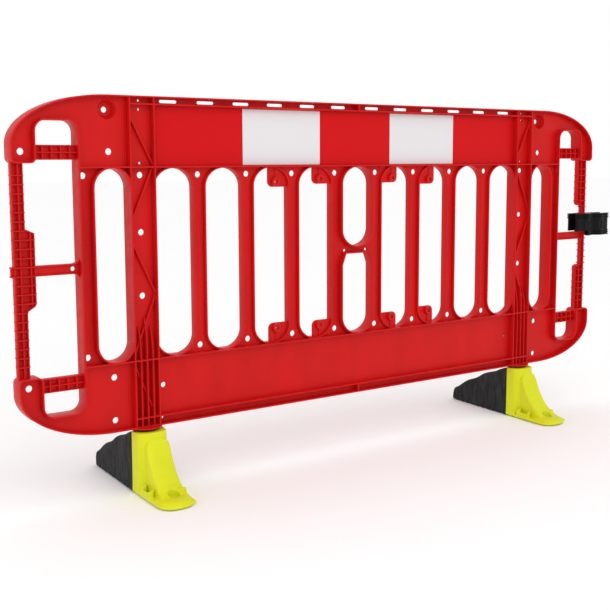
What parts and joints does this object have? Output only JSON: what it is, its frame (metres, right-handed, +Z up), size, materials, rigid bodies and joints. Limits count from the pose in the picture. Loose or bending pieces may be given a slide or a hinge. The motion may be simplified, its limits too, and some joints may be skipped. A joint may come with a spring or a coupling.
{
  "type": "crowd control barrier",
  "caption": "Moulded plastic pedestrian barrier with slotted panel, reflective board, finned end posts, swivelling anti-trip feet and a joining clip.",
  "frame": {"origin": "on the ground, at the middle of the whole object's plan, clip and feet included", "axes": "+X along the panel towards the clip, -Y towards the toes of the feet, +Z up"},
  "size_m": [2.1007, 0.473, 1.0005],
  "materials": {
    "panel": "satin moulded polyethylene",
    "red_sheeting": "reflective sheeting",
    "white_sheeting": "reflective sheeting",
    "toe": "satin moulded",
    "heel": "mottled recycled rubber",
    "black_nylon": "moulded",
    "steel": "zinc plated"
  },
  "bodies": {
    "barrier": {"panel": "panel", "sheet_front_1": "red_sheeting", "sheet_front_2": "white_sheeting", "sheet_front_3": "red_sheeting", "sheet_front_4": "white_sheeting", "sheet_front_5": "red_sheeting", "sheet_back_1": "red_sheeting", "sheet_back_2": "white_sheeting", "sheet_back_3": "red_sheeting", "sheet_back_4": "white_sheeting", "sheet_back_5": "red_sheeting", "spigot_screw_left": "steel", "spigot_screw_right": "steel"},
    "foot_left": {"foot_toe_left": "toe", "foot_heel_left": "heel", "foot_bush_left": "black_nylon", "foot_bolt_left_1": "steel", "foot_bolt_left_2": "steel"},
    "foot_right": {"foot_toe_right": "toe", "foot_heel_right": "heel", "foot_bush_right": "black_nylon", "foot_bolt_right_1": "steel", "foot_bolt_right_2": "steel"},
    "clip": {"clip": "black_nylon"}
  },
  "joints": [
    {"name": "foot_left_swivel", "type": "hinge", "parent": "barrier", "child": "foot_left", "pos_m": [-0.71695, -0.044, 0.1], "axis": [0, 0, 1], "range_deg": [-90, 90]},
    {"name": "foot_right_swivel", "type": "hinge", "parent": "barrier", "child": "foot_right", "pos_m": [0.62625, -0.044, 0.1], "axis": [0, 0, 1], "range_deg": [-90, 90]},
    {"name": "clip_swivel", "type": "hinge", "parent": "barrier", "child": "clip", "pos_m": [0.93535, -0.044, 0.58525], "axis": [0, 0, 1], "range_deg": [-50, 50]}
  ]
}
